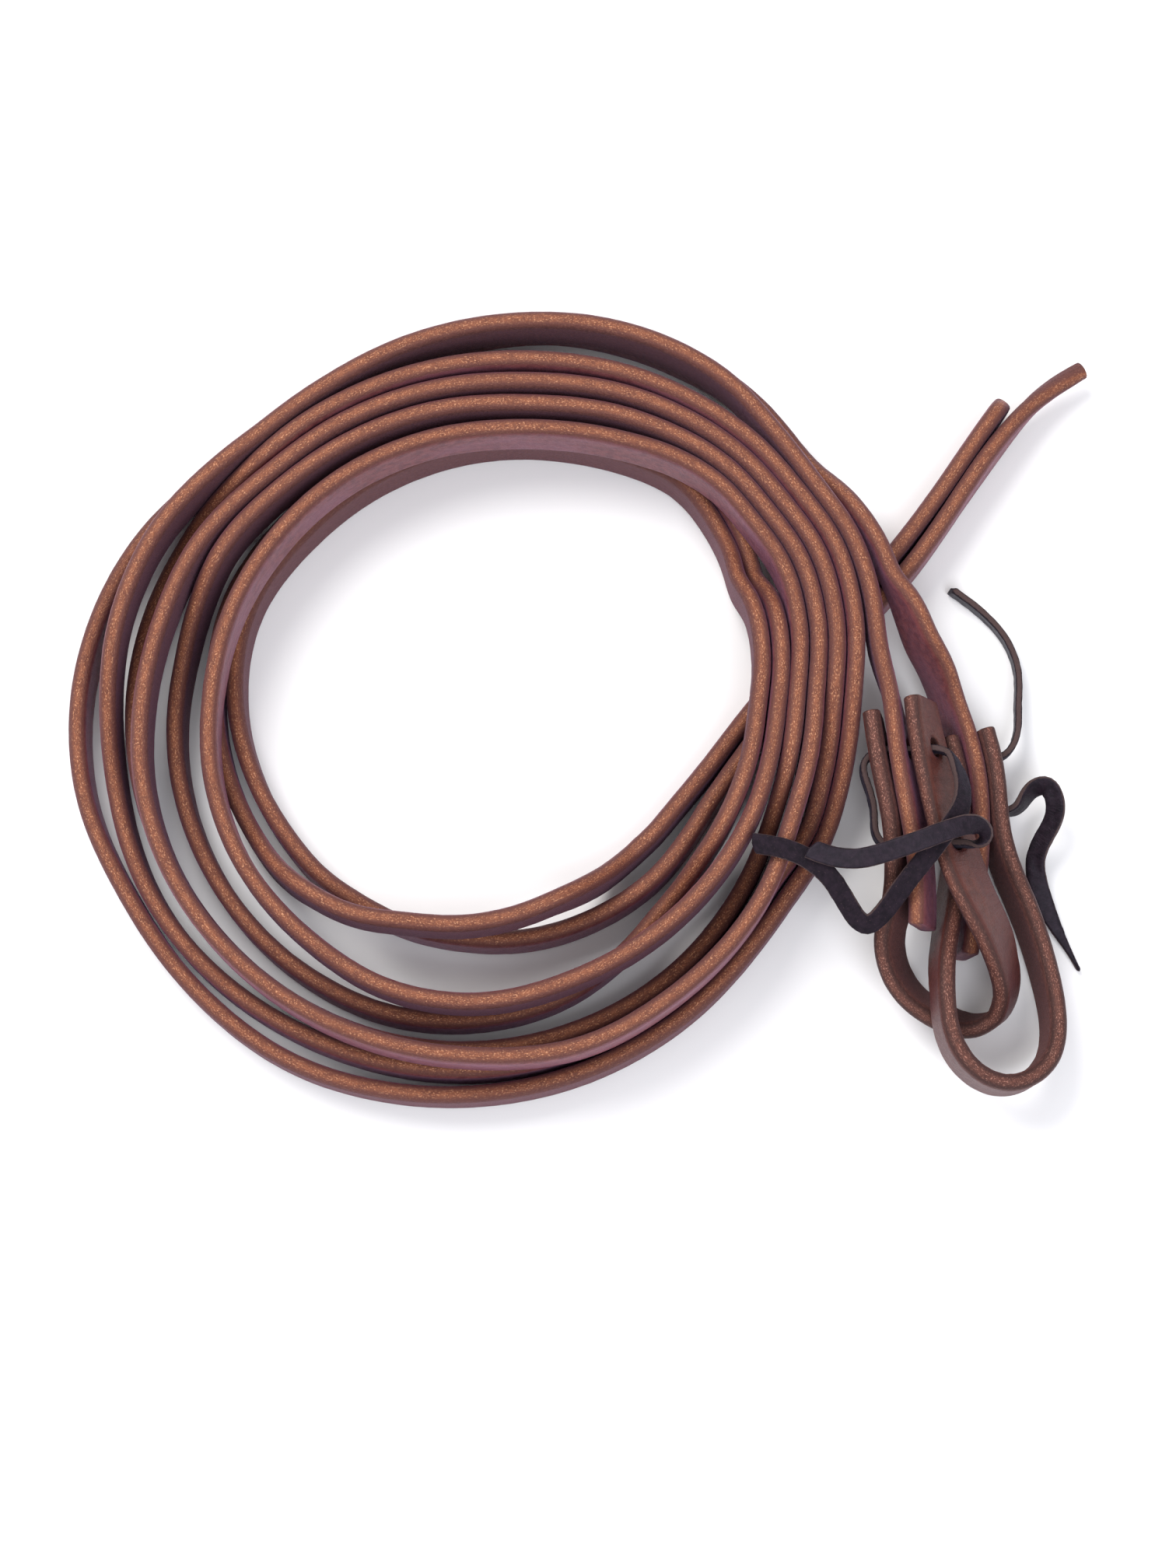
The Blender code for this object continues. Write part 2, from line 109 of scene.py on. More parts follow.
LAPS_B = (
    (25, 65.8), (33, 65.2), (43, 65.1), (62, 63.9), (78, 62.9), (93, 61.7), (107, 61.2), (121, 60.7),
    (133, 61.0), (145, 60.9), (162, 62.0), (181, 64.3), (204, 66.9), (227, 67.2), (250, 69.8),
    (275, 74.1), (290, 77.2), (299, 79.6), (306, 81.5), (312, 82.3), (318, 81.4), (324, 80.1),
    (330, 78.0), (333, 76.7), (336, 76.3), (342, 76.3), (348, 75.7), (354, 74.8), (362, 73.3),
    (371, 72.8), (386, 72.2), (399, 71.8), (409, 72.7), (420, 76.0), (433, 80.0), (451, 83.2),
    (466, 84.5), (481, 84.1), (511, 82.2), (526, 81.2), (541, 80.0), (557, 78.6), (570, 77.6),
    (589, 76.0), (602, 76.3), (622, 77.8), (638, 79.6), (660, 85.6), (678, 90.1), (687, 90.8),
    (697, 92.2), (707, 91.2), (720, 88.3), (731, 87.9), (741, 88.0), (754, 90.7), (779, 94.0),
    (792, 95.6), (811, 94.4), (836, 93.3), (872, 91.0), (885, 89.4), (899, 86.9), (913, 84.9),
    (928, 83.8), (949, 81.1), (962, 81.8), (982, 83.6), (997, 85.6), (1020, 91.4), (1038, 95.0),
    (1047, 95.7), (1057, 97.2), (1067, 96.1), (1080, 93.2), (1091, 92.8), (1101, 92.8), (1111, 90.5),
    (1122, 91.3), (1140, 93.2), (1170, 96.2), (1196, 97.7), (1231, 99.2), (1248, 97.8), (1261, 96.8),
    (1274, 96.0), (1288, 95.0), (1302, 92.4), (1310, 91.4), (1322, 92.7), (1340, 97.4), (1357, 102.3),
    (1366, 104.9), (1376, 106.9), (1388, 107.5), (1397, 105.9), (1407, 105.5), (1417, 107.2),
    (1427, 106.5),
)
# A climb key is (first degree, last degree) of one change between the first layer and the second.
CLIMBS_A = ((44, 72), (126, 154), (332, 350), (725, 753), (925, 955), (1074, 1101), (1400, 1418))
CLIMBS_B = ((322, 350), (381, 408), (545, 575), (1074, 1101), (1245, 1275))

# The stretches that aren't coiled: (x, y) of the strap's middle and the height of its middle, all in mm,
# and the lean in degrees, where a positive lean tips the upper edge to the left of the way along the strap.
TAIL_A = (
    (141.8, 85.6, 8.0, 0), (133.9, 74.5, 8.0, 0), (123.6, 59.4, 8.0, 0), (112.4, 44.3, 8.0, 0),
    (98.1, 27.5, 8.0, 0), (84.7, 13.0, 8.0, 0), (72.3, -1.0, 8.0, 0), (60.9, -15.9, 8.0, 0),
)
TAIL_B = (
    (163.6, 95.2, 8.1, 50), (152.6, 87.9, 8.1, 15), (140.9, 75.2, 8.2, 0), (128.5, 57.8, 8.0, 0),
    (116.9, 41.1, 8.0, 0), (102.5, 24.5, 8.0, 0), (89.1, 10.1, 8.0, 0), (76.3, -4.5, 8.0, 0),
    (65.9, -18.5, 8.0, 0),
)
END_A = (
    (112.9, 25.0, 24.4, 10), (116.3, 17.6, 22.0, 14), (121.3, 9.2, 15.8, 14), (124.9, 1.0, 11.2, 12),
    (128.2, -7.0, 9.4, 9), (130.8, -18.0, 9.0, 8), (131.5, -31.0, 9.0, 8), (130.2, -48.0, 9.0, 8),
    (127.8, -66.0, 9.0, 8),
)
END_B = (
    (105.4, 12.0, 24.4, -2), (108.0, 2.0, 24.4, -7), (110.4, -12.0, 24.4, -14), (112.8, -26.0, 24.4, -18),
    (114.8, -38.5, 24.4, -18), (115.6, -50.0, 24.2, -18), (115.4, -60.5, 24.0, -18),
)
# The free part of each bit loop, from the right-hand ply round the bight to the left-hand ply.
BIGHT_A = (
    (136.8, -31.0, 8.5, 8), (139.2, -42.0, 8.4, 8), (142.8, -51.5, 8.6, 8), (146.2, -61.5, 9.0, 8),
    (148.8, -72.0, 9.8, 7), (150.2, -83.4, 11.6, 5), (147.6, -94.2, 14.4, 3), (138.4, -100.4, 18.2, 0),
    (129.4, -98.8, 22.0, -1), (123.1, -92.6, 24.8, -3), (120.5, -84.0, 25.4, -4),
    (120.2, -76.0, 25.0, -4), (120.9, -68.0, 20.8, -6), (122.6, -59.0, 15.0, -8),
    (124.2, -50.0, 11.2, -8), (125.9, -40.0, 9.8, -8), (126.4, -30.0, 9.7, -8),
)
LOOP_B = (
    (115.8, -0.6, 26.0, -26), (116.7, -7.0, 26.2, -29), (118.0, -14.6, 26.4, -32),
    (119.8, -22.8, 26.8, -36), (121.8, -31.0, 27.2, -40), (124.0, -39.2, 27.6, -42),
    (126.6, -47.3, 27.8, -42), (130.1, -55.3, 27.6, -39), (134.0, -63.1, 25.4, -36),
    (136.9, -70.5, 20.2, -28), (137.6, -77.6, 13.6, -16), (135.2, -82.2, 10.0, 0),
    (129.0, -84.0, 8.5, 18), (121.8, -81.8, 8.4, 24), (115.2, -77.6, 9.0, 25), (110.6, -72.2, 11.0, 26),
    (108.3, -66.7, 13.8, 25), (107.8, -61.0, 17.2, 23), (109.0, -53.8, 20.6, 19),
    (109.6, -46.0, 22.2, 18), (109.3, -36.0, 23.2, 18), (108.3, -28.5, 23.4, 18),
    (106.9, -22.4, 23.5, 16), (104.8, -12.0, 23.5, 12), (103.5, -4.0, 23.6, 9),
)
LACE_A = (
    (126.6, 34.8, 3.2, 0), (134.6, 28.6, 3.2, 0), (141.4, 20.4, 3.4, 0), (144.2, 11.0, 4.4, 0),
    (143.8, 1.0, 6.0, 0), (142.8, -7.2, 7.2, 0), (139.6, -11.8, 7.9, 0), (135.6, -13.0, 8.4, 0),
    (130.0, -13.0, 9.1, 0), (125.0, -13.0, 9.8, 0), (121.0, -15.7, 10.1, 0), (121.6, -20.0, 10.0, 0),
    (122.2, -25.2, 9.9, 0), (126.4, -27.2, 9.7, 0), (131.7, -27.2, 9.0, 0), (138.0, -27.2, 8.4, 0),
    (142.6, -26.4, 8.9, 20), (146.0, -22.2, 11.2, 45), (149.8, -21.2, 13.4, 58), (152.2, -26.0, 13.2, 60),
    (150.4, -32.6, 10.2, 62), (147.6, -39.0, 6.8, 68), (148.4, -46.6, 4.4, 78), (151.6, -54.8, 3.0, 84),
    (155.2, -61.6, 2.2, 86), (159.0, -68.8, 1.6, 88),
)
LACE_B = (
    (85.4, -41.8, 36.8, 84), (92.0, -44.0, 36.2, 84), (99.0, -44.4, 36.8, 84), (106.0, -42.8, 38.4, 84),
    (112.4, -40.8, 39.8, 84), (118.4, -38.6, 40.0, 84), (124.0, -36.6, 39.4, 76),
    (128.4, -36.0, 37.4, 58), (130.6, -37.8, 34.6, 36), (129.6, -39.5, 32.0, 14), (126.6, -39.6, 30.4, 0),
    (121.0, -39.5, 28.5, 0), (113.2, -39.5, 25.9, 0), (107.6, -39.5, 24.0, 0), (104.4, -37.0, 23.0, 0),
    (103.4, -30.0, 22.6, 0), (101.8, -22.6, 22.5, 0), (101.2, -16.8, 22.7, 0), (105.4, -14.0, 23.6, 0),
    (110.7, -14.0, 24.9, 0), (117.7, -14.0, 26.7, 0), (122.4, -15.2, 28.4, -10),
    (124.6, -19.5, 30.6, -30), (125.6, -25.0, 33.0, -46), (124.6, -31.0, 35.4, -64),
    (121.0, -37.0, 36.9, -82), (116.4, -43.0, 36.6, -84), (111.0, -49.6, 35.0, -80),
    (105.4, -56.8, 32.2, -66), (100.6, -60.6, 30.6, -60), (95.2, -55.0, 31.8, -72),
    (89.2, -47.0, 34.0, -84), (80.8, -42.0, 34.2, -85), (71.0, -40.0, 33.8, -85),
)
HOLES_A = (((116.0, -13.0, 11.1), (144.0, -13.0, 7.2)), ((116.0, -27.2, 11.1), (147.0, -27.2, 6.8)))
HOLES_B = (((98.0, -14.0, 21.6), (126.0, -14.0, 28.8)), ((101.0, -39.5, 21.8), (130.0, -39.5, 31.5)))
LACED_A = END_A[4:6]  # where the plies of rein A's bit loop lie against the strap


# ---------------------------------------------------------------- routes, as in the CAD

def smooth_step(value):
    value = np.clip(value, 0.0, 1.0)
    return value * value * (3 - 2 * value)


def height_at(degrees, climbs):
    """The height of a strap's middle in mm, where it goes from layer to layer at each climb in turn."""
    layer = sum(
        (-1) ** turn * smooth_step((degrees - first) / (last - first))
        for turn, (first, last) in enumerate(climbs)
    )
    return SUPPORT_HEIGHT + LAYER_RISE * layer


def lap_points(keys, climbs, step=5.0):
    """Points along the laps, with the radius eased from key to key."""
    angles, radii = (np.array(column, float) for column in zip(*keys))
    slopes = np.gradient(radii, angles)
    points = []
    for degrees in np.append(np.arange(angles[0], angles[-1] - step / 2, step), angles[-1]):
        k = min(int(np.searchsorted(angles, degrees, side="right")) - 1, len(angles) - 2)
        gap = angles[k + 1] - angles[k]
        t = (degrees - angles[k]) / gap
        radius = (
            (1 + 2 * t) * (1 - t) ** 2 * radii[k]
            + t * (1 - t) ** 2 * gap * slopes[k]
            + t * t * (3 - 2 * t) * radii[k + 1]
            + t * t * (t - 1) * gap * slopes[k + 1]
        )
        turn = math.radians(degrees)
        points.append((radius * math.cos(turn), -radius * math.sin(turn), height_at(degrees, climbs), 0.0))
    return points


def spline_second_derivatives(places, values):
    """The second derivatives at the knots of a natural cubic spline."""
    gaps = np.diff(places)
    matrix = np.eye(len(places))
    right = np.zeros_like(values)
    for k in range(1, len(places) - 1):
        matrix[k, k - 1 : k + 2] = gaps[k - 1], 2 * (gaps[k - 1] + gaps[k]), gaps[k]
        right[k] = 6 * ((values[k + 1] - values[k]) / gaps[k] - (values[k] - values[k - 1]) / gaps[k - 1])
    return np.linalg.solve(matrix, right)


def smooth_curve(points, step=CURVE_STEP):
    """Rows of x, y, z and lean, evenly spaced along the smooth curve through the points."""
    values = np.array(points, float)
    places = np.append(0, np.cumsum(np.linalg.norm(np.diff(values[:, :3], axis=0), axis=1)))
    bends = spline_second_derivatives(places, values)
    fine = np.linspace(0, places[-1], int(places[-1] / step) + 2)
    k = np.clip(np.searchsorted(places, fine, side="right") - 1, 0, len(places) - 2)
    gap = np.diff(places)[k][:, None]
    after = (fine - places[k])[:, None] / gap
    before = 1 - after
    curve = before * values[k] + after * values[k + 1]
    curve += ((before**3 - before) * bends[k] + (after**3 - after) * bends[k + 1]) * gap**2 / 6
    lengths = np.append(0, np.cumsum(np.linalg.norm(np.diff(curve[:, :3], axis=0), axis=1)))
    even = np.linspace(0, lengths[-1], round(lengths[-1] / step) + 1)
    return np.column_stack([np.interp(even, lengths, column) for column in curve.T])


def section_axes(rows):
    """At each row, the direction to the right across the faces and the direction up the strap's width."""
    way = np.gradient(rows[:, :3], axis=0)
    way /= np.linalg.norm(way, axis=1)[:, None]
    right = np.cross(way, (0, 0, 1))
    right /= np.linalg.norm(right, axis=1)[:, None]
    up = np.cross(right, way)
    lean = np.radians(rows[:, 3])[:, None]
    return np.cos(lean) * right + np.sin(lean) * up, np.cos(lean) * up - np.sin(lean) * right


def ply_beside(points, side):
    """The points of a ply against the strap, to its right for a side of 1 and to its left for -1."""
    rows = np.array(points, float)
    across, _ = section_axes(rows)
    rows[:, :3] += side * PLY_PITCH * across
    return [tuple(row) for row in rows]


def reversed_way(points):
    """The same points walked the other way, so that the lean changes sign."""
    return [(x, y, z, -lean) for x, y, z, lean in reversed(points)]


class Route:
    """A smooth centreline with the directions across and up a strap, to be read at any length along it."""

    def __init__(self, points, lowest=None):
        self.rows = smooth_curve(points)
        if lowest is not None:
            self.rows[:, 2] = np.maximum(self.rows[:, 2], lowest)
        self.across, self.up = section_axes(self.rows)
        steps = np.linalg.norm(np.diff(self.rows[:, :3], axis=0), axis=1)
        self.places = np.append(0, np.cumsum(steps))
        self.length = self.places[-1]
        turn = np.gradient(np.unwrap(np.arctan2(*np.gradient(self.rows[:, :2], axis=0).T[::-1])))
        self.bend = turn / np.gradient(self.places)

    def read(self, columns, s):
        return np.stack([np.interp(s, self.places, column) for column in columns.T], axis=-1)

    def put(self, s, a, b):
        """World points in metres at length s, a across the faces and b up the width, all in mm."""
        middle = self.read(self.rows[:, :3], s)
        along = self.read(self.across, s) * a[..., None] + self.read(self.up, s) * b[..., None]
        return (middle + along + COIL_CENTRE) * MM

    def path(self, step):
        s = np.linspace(0, self.length, round(self.length / step) + 1)
        return [tuple(point) for point in self.put(s, np.zeros_like(s), np.zeros_like(s))]


# ---------------------------------------------------------------- strap meshes

def strap_section(thickness, corner, face_steps, corner_steps):
    """Rows once round the section: a, share of the straight part's b, rest of b, edge share, normal."""
    half = thickness / 2
    core = half - corner
    rows = [(half, t, 0.0, 0.0, 1.0, 0.0) for t in np.linspace(-1, 1, face_steps + 1)]
    for angle in np.linspace(0, math.pi / 2, corner_steps + 1)[1:]:
        ca, sa = math.cos(angle), math.sin(angle)
        rows.append((core + corner * ca, 1.0, corner * sa, sa, ca, sa))
    rows.append((0.0, 1.0, corner * 1.05, 1.0, 0.0, 1.0))
    for angle in np.linspace(math.pi / 2, 0, corner_steps + 1)[:-1]:
        ca, sa = math.cos(angle), math.sin(angle)
        rows.append((-core - corner * ca, 1.0, corner * sa, sa, -ca, sa))
    upper = np.array(rows)
    return np.concatenate([upper, upper * (-1, -1, -1, 1, -1, -1)])


def ring_places(length, step, holes):
    """Lengths along a strap for its rings: close together at its ends and round its holes."""
    places = np.linspace(0, length, round(length / step) + 1)
    for s, _, radius in holes:
        places = places[np.abs(places - s) > radius * 2.3]
        places = np.append(places, s + radius * np.linspace(-2.2, 2.2, 13))
    near = np.array(END_RINGS)
    places = places[(places > near[-1] + 0.3) & (places < length - near[-1] - 0.3)]
    return np.unique(np.concatenate([near, places, length - near]))


def random_waves(seed, count, shortest, longest):
    """Flat waves in random directions, as rows of two wave numbers, a phase and a size."""
    pick = np.random.default_rng(seed)
    lengths = pick.uniform(shortest, longest, count)
    headings = pick.uniform(0, math.pi, count)
    phases = pick.uniform(0, math.tau, count)
    waves = math.tau / lengths
    sizes = np.full(count, 1.6 / count)
    return np.column_stack([waves * np.cos(headings), waves * np.sin(headings), phases, sizes])


def wave_sum(waves, u, v=0.0):
    return sum(size * np.sin(ku * u + kv * v + phase) for ku, kv, phase, size in waves)


def hole_places(route, ends, radius):
    """Where the line between two points passes the strap: length, place up the width, radius, in mm."""
    first, last = (np.array(end, float) for end in ends)
    line = last - first
    rows = route.rows[:, :3]
    way = np.cross(route.up, route.across)
    share = ((rows - first) * route.across).sum(axis=1) / (route.across @ line)
    off = first + share[:, None] * line - rows
    along, up = (off * way).sum(axis=1), (off * route.up).sum(axis=1)
    near = (share > 0) & (share < 1) & (np.abs(up) < STRAP_WIDTH / 2) & (np.abs(along) < 4)
    turns = near[:-1] & near[1:] & (along[:-1] * along[1:] <= 0)
    return [(route.places[k], up[k], radius) for k in np.flatnonzero(turns)]


def punch(hole, s, b, face_columns, kept):
    """Rounds one face's grid round a hole and drops its inner cells. Returns the border's (ring, column)."""
    place, height, radius = hole
    half = radius * 0.8
    rows = np.flatnonzero(np.abs(s[:, face_columns[0]] - place) < half)
    columns = [c for c in face_columns if abs(b[rows[0], c] - height) < half]
    first, last = rows[0], rows[-1]
    low, high = min(columns), max(columns)
    reach_s = (s[last, low] - s[first, low]) / 2
    reach_b = abs(b[first, high] - b[first, low]) / 2
    middle_b = (b[first, high] + b[first, low]) / 2
    middle_s = (s[last, low] + s[first, low]) / 2
    grid = np.ix_(np.arange(max(first - 8, 0), min(last + 9, len(s))), face_columns)
    u, v = s[grid] - middle_s, b[grid] - middle_b
    q = np.maximum(np.maximum(np.abs(u) / reach_s, np.abs(v) / reach_b), 1e-6)
    size = np.hypot(u / q, v / q)
    fade = np.clip((2.3 - q) / 1.3, 0, 1) * (q > 0.98)
    s[grid] += fade * (u / q) * (radius / size - 1)
    b[grid] += fade * (v / q) * (radius / size - 1)
    kept[first:last, low:high] = False
    loop = [(first, c) for c in range(low, high)] + [(r, high) for r in range(first, last)]
    return loop + [(last, c) for c in range(high, low, -1)] + [(r, low) for r in range(last, first, -1)]


def strap_mesh(
    name, route, size, step, seed, holes=(), shape=None, slant=(0, 0), rough=0.05, sway=0.0, grain_side=1
):
    """A strap as one closed skin, in metres, with round holes through its faces.

    shape gives the width's share at each length, slant skews the two cut ends, rough is the height in mm of
    the leather's small unevenness and sway is the strap's long slow lean in degrees.
    """
    width, thickness, corner, face_steps, corner_steps = size
    section = strap_section(thickness, corner, face_steps, corner_steps)
    places = ring_places(route.length, step, holes)
    a_unit, core, rest, edge, normal_a, normal_b = (column[None, :] for column in section.T)
    s = np.repeat(places[:, None], len(section), axis=1)
    shares = np.ones(len(places)) if shape is None else np.array([shape(p) for p in places])
    half_width = width / 2 * shares
    a = a_unit * np.ones_like(s)
    b = core * (half_width[:, None] - corner) + rest
    face = list(range(face_steps + 1))
    turned = [len(section) // 2 + face_steps - c for c in face]
    kept = np.ones((len(places) - 1, len(section)), bool)
    borders = [
        (punch(hole, s, b, face, kept), punch(hole, s, b, turned[::-1], kept), hole) for hole in holes
    ]
    texture = np.stack([s + TEXTURE_SHIFT * seed, a, b], axis=-1)

    waves = random_waves(seed, 14, 2.2, 9.0)
    lift = rough * wave_sum(waves, s, 1.9 * b + 2.7 * a)
    bend = route.read(route.bend[:, None], s)[..., 0]
    inner = np.sign(a) == -np.sign(bend)
    tight = np.clip((np.abs(bend) - GENTLE_BEND) / BEND_RANGE, 0, 1) * inner * (1 - edge)
    wrinkles = 0.5 + 0.5 * np.sin(s * math.tau / WRINKLE_LENGTH + 2 * wave_sum(waves, s * 0.3, b))
    lift -= WRINKLE_DEPTH * tight * wrinkles
    for place, height, radius in holes:
        past_rim = (np.hypot(s - place, b - height) - radius) / HOLE_RIM_WIDTH
        lift -= HOLE_RIM_DEPTH * np.exp(-(past_rim**2)) * (edge < 0.5)
    a += normal_a * lift
    b += normal_b * lift
    slow = random_waves(seed + 50, 5, 60.0, 170.0)
    lean = np.radians(sway) * wave_sum(slow, s)
    a, b = a * np.cos(lean) - b * np.sin(lean), a * np.sin(lean) + b * np.cos(lean)

    from_end = np.minimum(s, route.length - s)
    cut = np.clip(1 - from_end / END_ROUND, 0, 1)
    inset = END_ROUND * (1 - np.sqrt(1 - cut**2))
    a *= 1 - inset / (thickness / 2)
    b *= 1 - inset / half_width[:, None]
    s += slant[0] * b * np.clip(1 - s / END_REACH, 0, 1)
    s += slant[1] * b * np.clip(1 - (route.length - s) / END_REACH, 0, 1)
    s = np.clip(s, 0, None)

    points = [route.put(s, a, b).reshape(-1, 3)]
    textures = [texture.reshape(-1, 3)]
    edges = [(edge * np.ones_like(s)).reshape(-1)]
    grains = [np.where(a * grain_side > 0, 1.0, 0.0).reshape(-1)]
    columns = len(section)
    faces = []
    for ring, column in zip(*np.nonzero(kept)):
        beside = (column + 1) % columns
        faces.append((
            ring * columns + column, ring * columns + beside,
            (ring + 1) * columns + beside, (ring + 1) * columns + column,
        ))
    faces.append(tuple(range(columns)))
    faces.append(tuple(range((len(places) - 1) * columns, len(places) * columns)))
    count = len(places) * columns
    for border, other, hole in borders:
        near_loop = [ring * columns + column for ring, column in border]
        opposite = {(ring, turned.index(column)): ring * columns + column for ring, column in other}
        far_loop = [opposite[ring, column] for ring, column in border]
        loops = [near_loop]
        for share in (0.72, 0.25, -0.25, -0.72):
            rows = np.array([(s[ring, column], b[ring, column]) for ring, column in border])
            rows = (rows - hole[:2]) * 0.95 + hole[:2]
            depth = np.full(len(rows), share * thickness / 2)
            points.append(route.put(rows[:, 0], depth, rows[:, 1]))
            textures.append(np.stack([rows[:, 0] + TEXTURE_SHIFT * seed, depth, rows[:, 1]], axis=-1))
            edges.append(np.ones(len(rows)))
            grains.append(np.zeros(len(rows)))
            loops.append(list(range(count, count + len(rows))))
            count += len(rows)
        loops.append(far_loop)
        for loop, following in zip(loops, loops[1:]):
            for k in range(len(loop)):
                faces.append((loop[k - 1], loop[k], following[k], following[k - 1]))
    return finished(name, points, faces, textures, edges, grains)


def finished(name, points, faces, textures, edges, grains):
    """The object of these points and faces, facing out, with the attributes that its material reads."""
    mesh = bpy.data.meshes.new(name)
    mesh.from_pydata(np.concatenate(points).tolist(), [], faces)
    for label, kind, values in (
        ("strap", "FLOAT_VECTOR", np.concatenate(textures)),
        ("edge", "FLOAT", np.concatenate(edges)),
        ("grain", "FLOAT", np.concatenate(grains)),
    ):
        layer = mesh.attributes.new(label, kind, "POINT")
        layer.data.foreach_set("vector" if kind == "FLOAT_VECTOR" else "value", values.ravel())
    shape = bmesh.new()
    shape.from_mesh(mesh)
    bmesh.ops.recalc_face_normals(shape, faces=shape.faces)
    shape.to_mesh(mesh)
    shape.free()
    mesh.polygons.foreach_set("use_smooth", [True] * len(mesh.polygons))
    piece = bpy.data.objects.new(name, mesh)
    bpy.context.scene.collection.objects.link(piece)
    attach(piece, "root")
    return piece


# ---------------------------------------------------------------- materials

class Nodes:
    """Builds one material's nodes with few words."""

    def __init__(self, name):
        self.material = bpy.data.materials.new(name)
        self.material.use_nodes = True
        self.tree = self.material.node_tree
        self.shader = self.tree.nodes["Principled BSDF"]

    def add(self, kind, **values):
        node = self.tree.nodes.new(kind)
        for key, value in values.items():
            if key in node.inputs:
                self.plug(node.inputs[key], value)
            else:
                setattr(node, key, value)
        return node

    def plug(self, socket, value):
        if isinstance(value, bpy.types.NodeSocket):
            self.tree.links.new(value, socket)
        elif value is not None:
            socket.default_value = value

    def attribute(self, name, output):
        return self.add("ShaderNodeAttribute", attribute_name=name).outputs[output]

    def stretched(self, vector, scale):
        node = self.add("ShaderNodeMapping")
        self.plug(node.inputs["Vector"], vector)
        node.inputs["Scale"].default_value = scale
        return node.outputs["Vector"]

    def noise(self, vector, scale, detail=2.0, roughness=0.5, distortion=0.0):
        node = self.add("ShaderNodeTexNoise", Vector=vector, Scale=scale, Detail=detail)
        node.inputs["Roughness"].default_value = roughness
        node.inputs["Distortion"].default_value = distortion
        return node.outputs["Fac"]

    def cells(self, vector, scale):
        node = self.add("ShaderNodeTexVoronoi", Scale=scale)
        self.plug(node.inputs["Vector"], vector)
        return node.outputs["Distance"]

    def math(self, operation, first, second=0.0, third=0.0):
        node = self.add("ShaderNodeMath", operation=operation)
        for socket, value in zip(node.inputs, (first, second, third)):
            self.plug(socket, value)
        return node.outputs[0]

    def share(self, value, low, high, most):
        """0 below low, most above high, and smooth between."""
        return self.math("MULTIPLY", self.between(value, low, high), most)

    def between(self, value, low, high):
        """0 below low, 1 above high, and smooth between."""
        node = self.add("ShaderNodeMapRange", interpolation_type="SMOOTHSTEP")
        for key, number in (("Value", value), ("From Min", low), ("From Max", high)):
            self.plug(node.inputs[key], number)
        return node.outputs["Result"]

    def mix(self, share, first, second):
        node = self.add("ShaderNodeMix", data_type="RGBA")
        factor = next(s for s in node.inputs if s.name == "Factor" and s.type == "VALUE")
        self.plug(factor, share)
        for label, value in (("A", first), ("B", second)):
            socket = next(s for s in node.inputs if s.name == label and s.type == "RGBA")
            self.plug(socket, (*value, 1) if isinstance(value, tuple) else value)
        return next(s for s in node.outputs if s.type == "RGBA")

    def blend(self, share, first, second):
        """A number from first to second by share."""
        node = self.add("ShaderNodeMix", data_type="FLOAT")
        sockets = [s for s in node.inputs if s.type == "VALUE"]
        for label, value in (("Factor", share), ("A", first), ("B", second)):
            self.plug(next(s for s in sockets if s.name == label), value)
        return next(s for s in node.outputs if s.type == "VALUE")

    def bump(self, height, distance, strength, normal=None):
        node = self.add("ShaderNodeBump", Height=height, Distance=distance, Strength=strength)
        if normal is not None:
            self.plug(node.inputs["Normal"], normal)
        return node.outputs["Normal"]

    def finish(self, **values):
        for key, value in values.items():
            self.plug(self.shader.inputs[key.replace("_", " ")], value)
        return self.material


